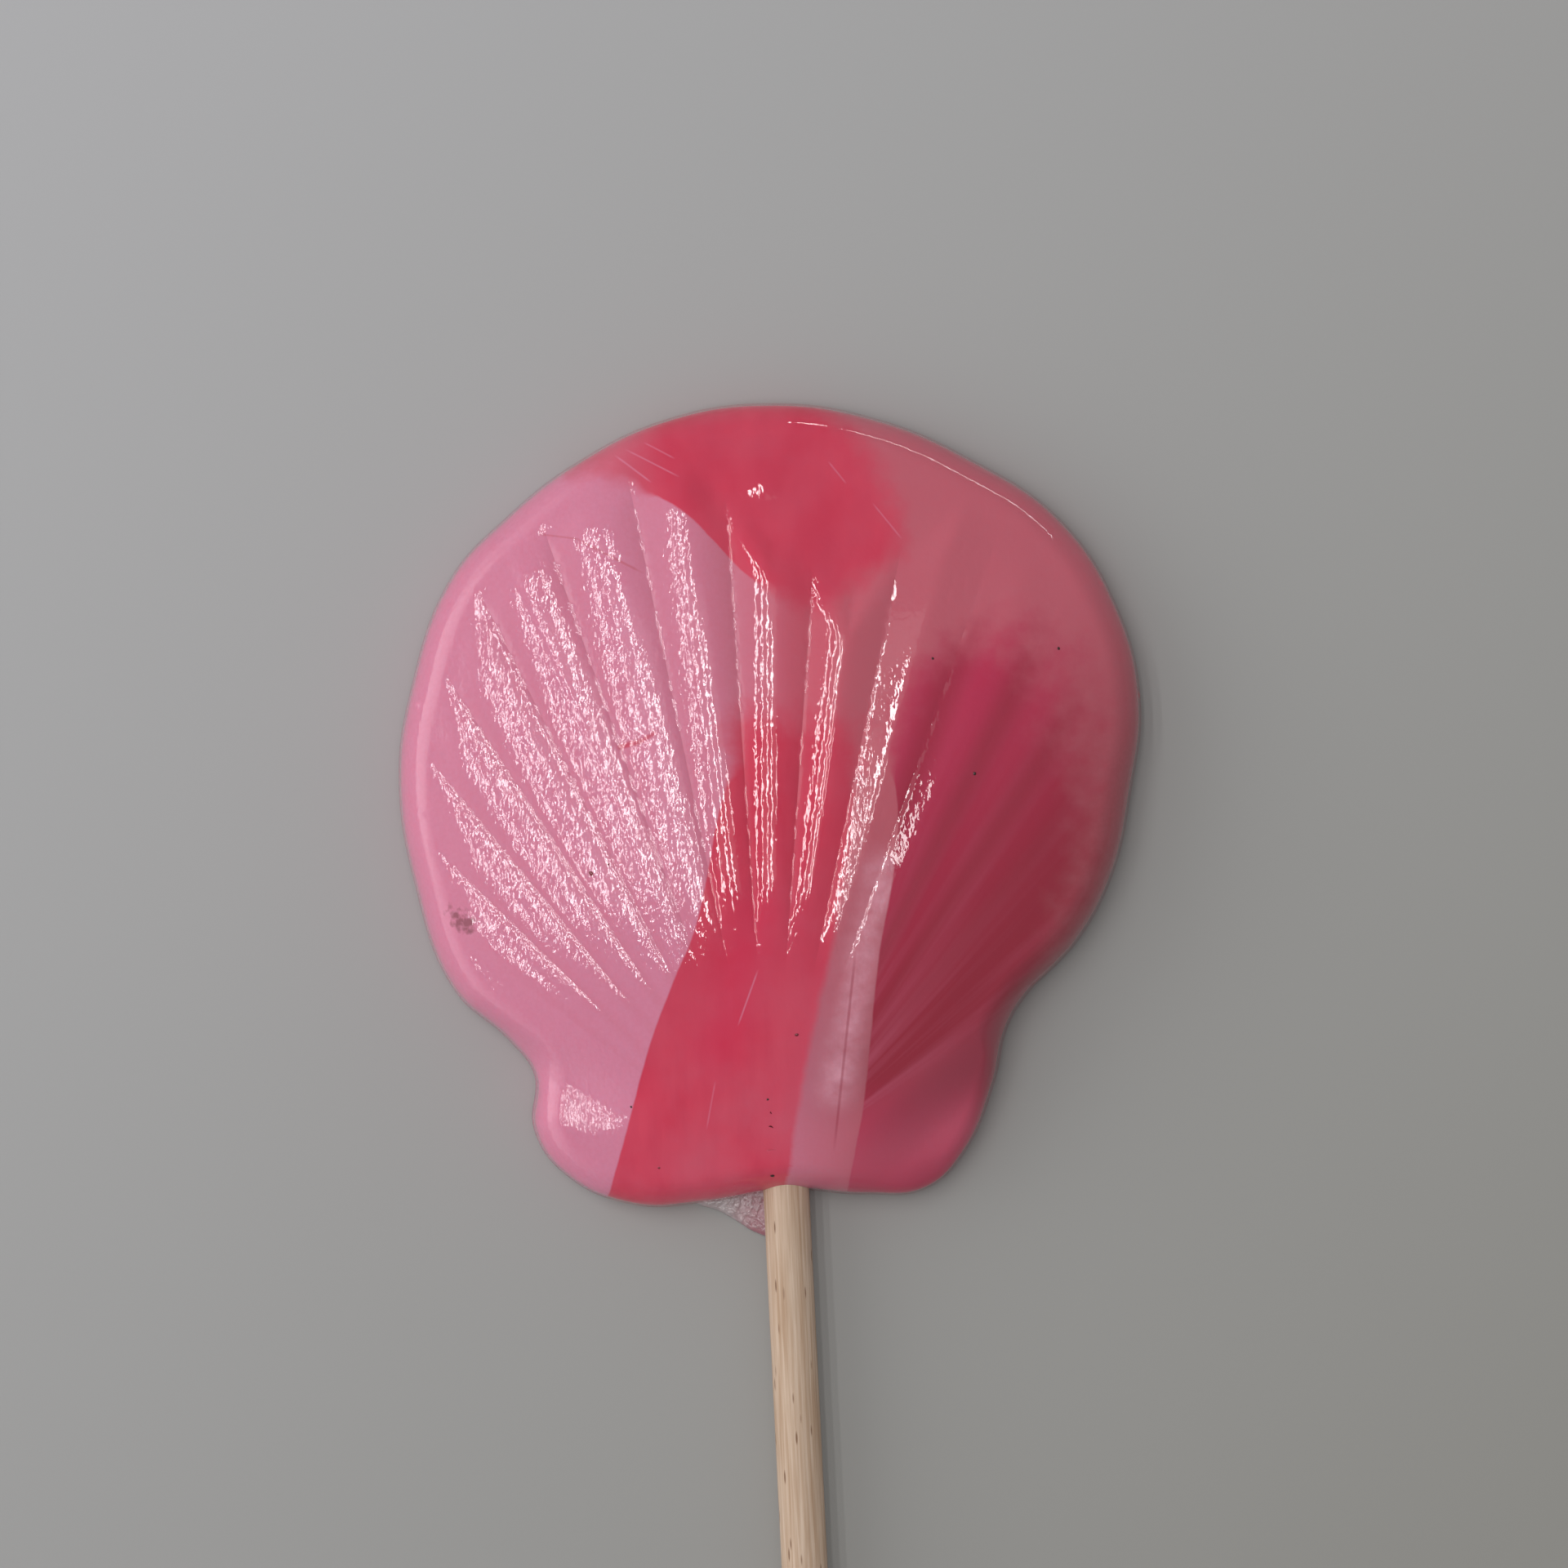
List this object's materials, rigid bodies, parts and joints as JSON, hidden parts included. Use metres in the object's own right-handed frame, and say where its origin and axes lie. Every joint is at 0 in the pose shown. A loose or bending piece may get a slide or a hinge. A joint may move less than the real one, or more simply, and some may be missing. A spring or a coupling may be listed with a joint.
{
  "type": "seashell lollipop",
  "caption": "Ribbed scallop shell of pink and red boiled sugar with two small ears, cast flat-backed on a round wooden stick, lying on its back.",
  "frame": {"origin": "middle of the shell's disc, on the flat back it lies on", "axes": "+Y to the top of the shell, away from the stick; +Z out of the ribbed face, up as it lies; +X to the right as seen from the front"},
  "size_m": [0.0649, 0.1867, 0.0114],
  "materials": {
    "boiled_sugar": "moulded boiled sugar, glossy and translucent, in fields of opaque pink, clear red and magenta",
    "beech": "bare turned beech, matt, with short dark flecks along the grain"
  },
  "bodies": {
    "root": {"candy_shell": "boiled_sugar", "stick": "beech"}
  },
  "joints": []
}
